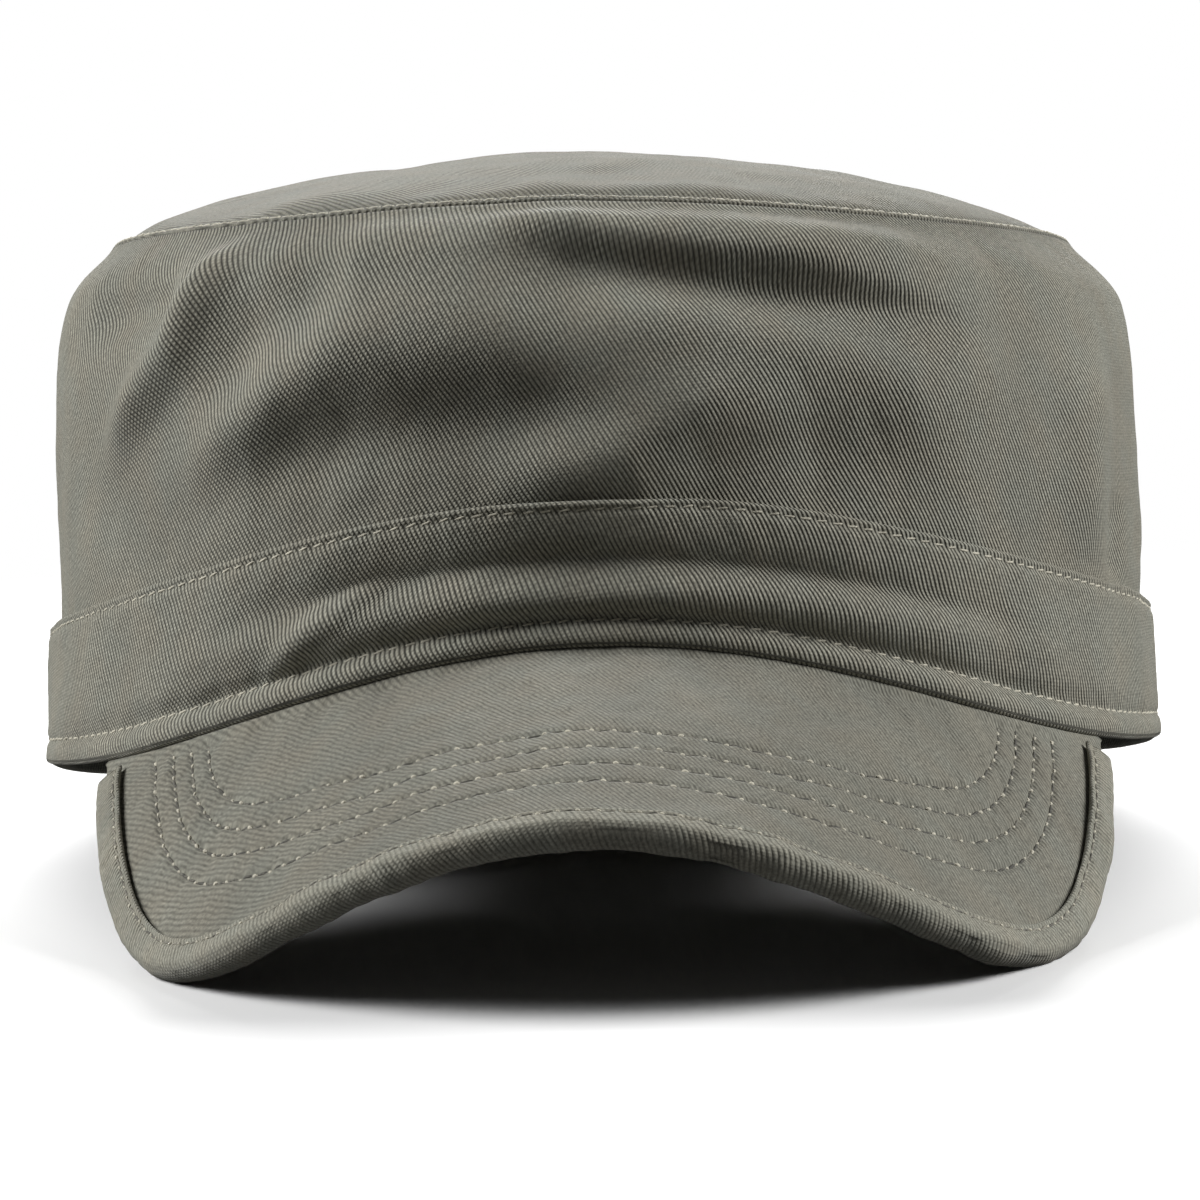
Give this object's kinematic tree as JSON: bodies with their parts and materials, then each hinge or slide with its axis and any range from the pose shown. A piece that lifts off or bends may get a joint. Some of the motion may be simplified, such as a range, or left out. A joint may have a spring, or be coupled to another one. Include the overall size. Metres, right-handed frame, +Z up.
{
  "type": "cadet cap",
  "caption": "Cadet cap of olive-grey washed cotton twill: soft creased crown with a domed top, stitched band, and a short curved peak bound in tape.",
  "frame": {"origin": "on the table, under the middle of the box round the resting cap", "axes": "+Z up; the peak points along -Y and the wearer's left is +X; the cap rests on the back of its band and on the two corners of its peak"},
  "size_m": [0.1862, 0.2634, 0.116],
  "materials": {
    "twill": "washed olive-grey cotton twill, matt, with fine diagonal ribs",
    "bias_tape": "the same twill cut on the bias and folded over the peak's edge, matt"
  },
  "bodies": {
    "root": {"crown_side": "twill", "crown_top": "twill", "band": "twill", "peak": "twill", "peak_binding": "bias_tape"}
  },
  "joints": []
}
